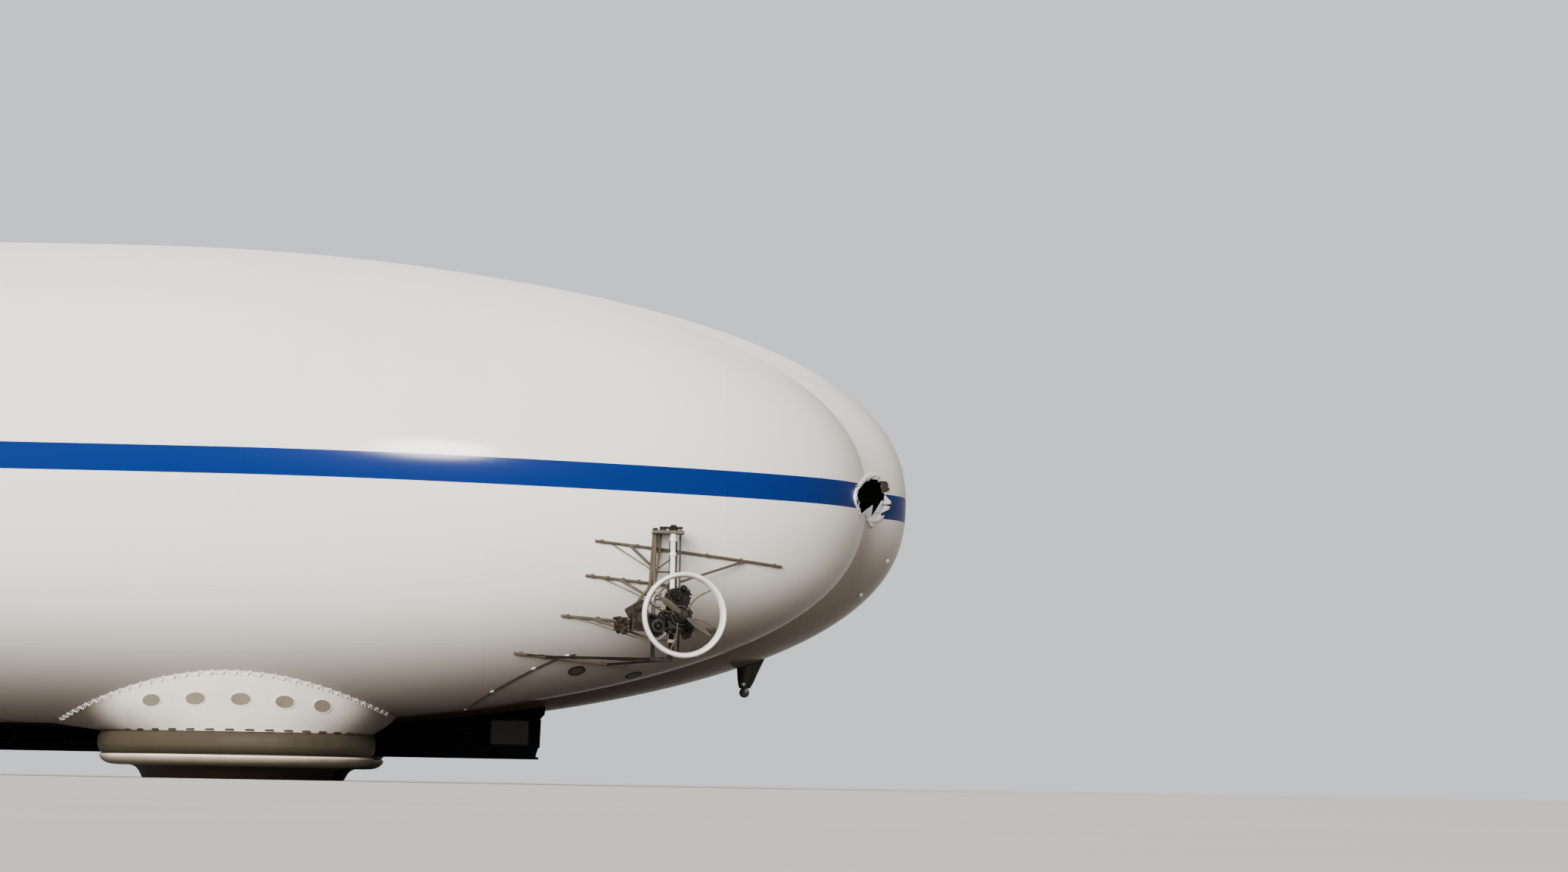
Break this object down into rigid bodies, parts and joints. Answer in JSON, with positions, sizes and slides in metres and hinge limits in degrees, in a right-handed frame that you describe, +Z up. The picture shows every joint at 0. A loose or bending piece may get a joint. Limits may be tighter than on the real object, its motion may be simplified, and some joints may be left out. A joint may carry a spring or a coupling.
{
  "type": "hybrid airship",
  "caption": "Three-lobed hybrid airship parked on air-cushion pads, with swivelling ducted propellers, a gondola with doors and canted tail fins with rudders.",
  "frame": {"origin": "centre of the bounding box at floor level, under the hull", "axes": "+X forward towards the nose, +Y to port, +Z up; the pads stand on z = 0"},
  "size_m": [37.005, 17.2504, 11.157],
  "materials": {
    "envelope": "semi-gloss coated laminate",
    "skirt": "matte coated fabric",
    "cushion": "matte",
    "gondola": "semi-gloss",
    "glass": "tinted",
    "cabin": "matte",
    "frame": "satin",
    "engine": "matte",
    "ring": "gloss",
    "blade": "satin",
    "fin": "semi-gloss"
  },
  "bodies": {
    "hull": {"envelope_middle": "envelope", "envelope_right": "envelope", "envelope_left": "envelope", "nose_pod": "engine", "pad_skirt_front_right": "skirt", "pad_skirt_front_left": "skirt", "pad_skirt_rear_right": "skirt", "pad_skirt_rear_left": "skirt", "pad_cushion_front_right": "cushion", "pad_cushion_front_left": "cushion", "pad_cushion_rear_right": "cushion", "pad_cushion_rear_left": "cushion", "gondola_bay": "gondola", "cabin_floor": "gondola", "cabin_side_right": "gondola", "cabin_side_left": "gondola", "cabin_front": "gondola", "cabin_window_right": "glass", "cabin_window_left": "glass", "cabin_windscreen": "glass", "cabin_bulkhead": "cabin", "cabin_seat_right": "cabin", "cabin_seat_left": "cabin", "cabin_console": "cabin", "truss_front_right": "frame", "truss_front_left": "frame", "truss_stern_right": "frame", "truss_stern_left": "frame", "drive_pack_right": "engine", "drive_pack_left": "engine", "fin_upper_right": "fin", "fin_upper_left": "fin", "fin_lower_right": "fin", "fin_lower_left": "fin"},
    "thruster_front_right": {"engine_front_right": "engine", "post_front_right": "ring", "ring_front_right": "ring"},
    "thruster_front_left": {"engine_front_left": "engine", "post_front_left": "ring", "ring_front_left": "ring"},
    "thruster_stern_right": {"engine_stern_right": "engine", "post_stern_right": "ring", "ring_stern_right": "ring"},
    "thruster_stern_left": {"engine_stern_left": "engine", "post_stern_left": "ring", "ring_stern_left": "ring"},
    "prop_front_right": {"propeller_front_right": "blade"},
    "prop_front_left": {"propeller_front_left": "blade"},
    "prop_stern_right": {"propeller_stern_right": "blade"},
    "prop_stern_left": {"propeller_stern_left": "blade"},
    "door_right": {"cabin_door_right": "gondola"},
    "door_left": {"cabin_door_left": "gondola"},
    "tail_upper_right": {"rudder_upper_right": "fin"},
    "tail_upper_left": {"rudder_upper_left": "fin"},
    "tail_lower_right": {"rudder_lower_right": "fin"},
    "tail_lower_left": {"rudder_lower_left": "fin"}
  },
  "joints": [
    {"name": "swivel_front_right", "type": "hinge", "parent": "hull", "child": "thruster_front_right", "pos_m": [13.75, -7.5, 2.93], "axis": [0, 0, 1], "range_deg": [-25, 79]},
    {"name": "swivel_front_left", "type": "hinge", "parent": "hull", "child": "thruster_front_left", "pos_m": [13.75, 7.5, 2.93], "axis": [0, 0, -1], "range_deg": [-25, 79]},
    {"name": "swivel_stern_right", "type": "hinge", "parent": "hull", "child": "thruster_stern_right", "pos_m": [-17.48, -2.9, 5.22], "axis": [0, 0, 1], "range_deg": [-30, 30]},
    {"name": "swivel_stern_left", "type": "hinge", "parent": "hull", "child": "thruster_stern_left", "pos_m": [-17.48, 2.9, 5.22], "axis": [0, 0, -1], "range_deg": [-30, 30]},
    {"name": "spin_front_right", "type": "hinge", "parent": "thruster_front_right", "child": "prop_front_right", "pos_m": [13.91896, -8.39418, 2.93], "axis": [0.1857, -0.9826, 0], "continuous": true},
    {"name": "spin_front_left", "type": "hinge", "parent": "thruster_front_left", "child": "prop_front_left", "pos_m": [13.91896, 8.39418, 2.93], "axis": [0.1857, 0.9826, 0], "continuous": true},
    {"name": "spin_stern_right", "type": "hinge", "parent": "thruster_stern_right", "child": "prop_stern_right", "pos_m": [-18.39, -2.9, 5.22], "axis": [-1, 0, 0], "continuous": true},
    {"name": "spin_stern_left", "type": "hinge", "parent": "thruster_stern_left", "child": "prop_stern_left", "pos_m": [-18.39, 2.9, 5.22], "axis": [-1, 0, 0], "continuous": true},
    {"name": "door_hinge_right", "type": "hinge", "parent": "hull", "child": "door_right", "pos_m": [10.59, -0.818, 0.86], "axis": [0, 0, 1], "range_deg": [0, 85]},
    {"name": "door_hinge_left", "type": "hinge", "parent": "hull", "child": "door_left", "pos_m": [10.59, 0.818, 0.86], "axis": [0, 0, -1], "range_deg": [0, 85]},
    {"name": "rudder_hinge_upper_right", "type": "hinge", "parent": "hull", "child": "tail_upper_right", "pos_m": [-14.7, -5.56262, 9.01402], "axis": [0, -0.5446, 0.8387], "range_deg": [-25, 25]},
    {"name": "rudder_hinge_upper_left", "type": "hinge", "parent": "hull", "child": "tail_upper_left", "pos_m": [-14.7, 5.56262, 9.01402], "axis": [0, 0.5446, 0.8387], "range_deg": [-25, 25]},
    {"name": "rudder_hinge_lower_right", "type": "hinge", "parent": "hull", "child": "tail_lower_right", "pos_m": [-14.7, -6.35934, 3.365], "axis": [0, -0.866, -0.5], "range_deg": [-25, 25]},
    {"name": "rudder_hinge_lower_left", "type": "hinge", "parent": "hull", "child": "tail_lower_left", "pos_m": [-14.7, 6.35934, 3.365], "axis": [0, 0.866, -0.5], "range_deg": [-25, 25]}
  ]
}
